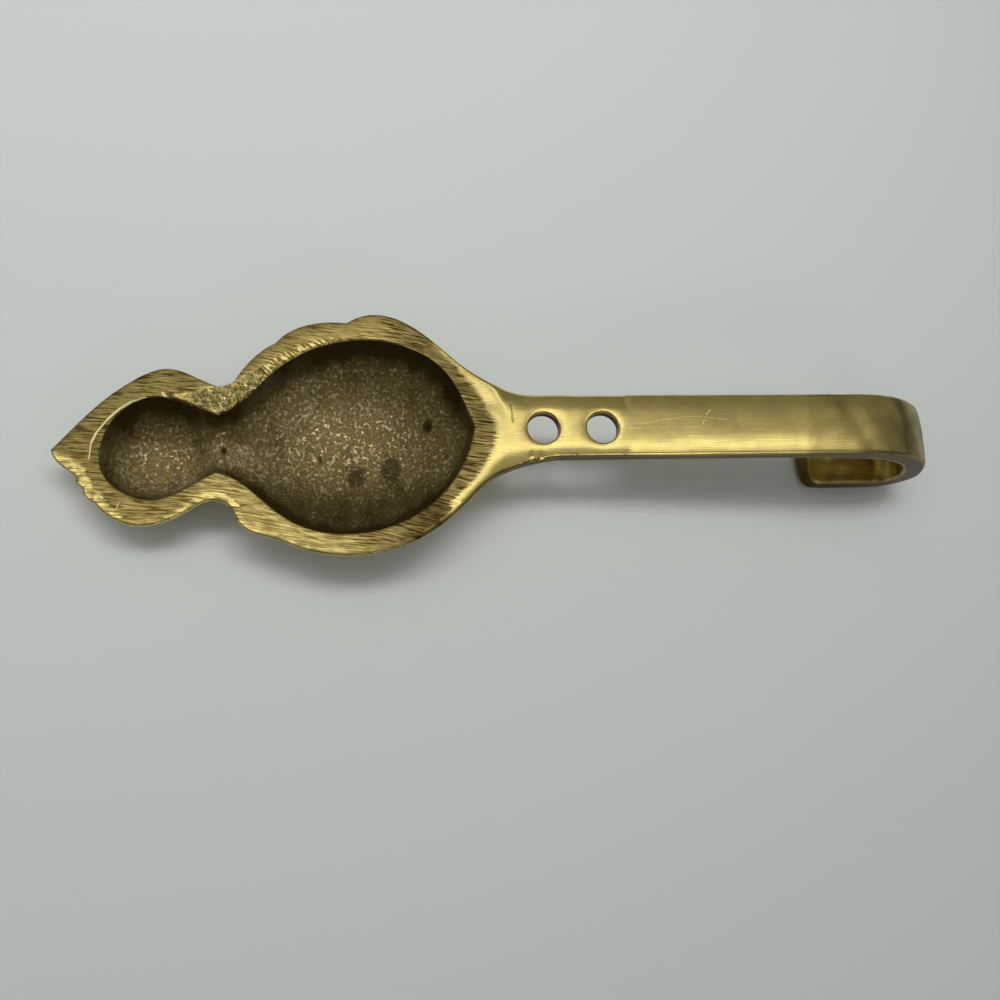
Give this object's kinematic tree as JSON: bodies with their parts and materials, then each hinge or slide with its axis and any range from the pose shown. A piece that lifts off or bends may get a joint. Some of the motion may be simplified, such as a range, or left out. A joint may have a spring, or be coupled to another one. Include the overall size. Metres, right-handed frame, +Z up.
{
  "type": "wall hook",
  "caption": "Cast brass wall hook: a hollow-backed figure with a lobed outline over a flat drilled strap that turns out into a J.",
  "frame": {"origin": "on the wall plane, midway between the screw holes in the strap", "axes": "+Z up the wall, +Y into the wall, +X to the right when the hook's front is looked at"},
  "size_m": [0.0426, 0.0247, 0.1576],
  "materials": {
    "brass": "as-cast in the pockets, filed on the rim, hand-polished on the strap, lightly tarnished"
  },
  "bodies": {
    "root": {"hook": "brass"}
  },
  "joints": []
}
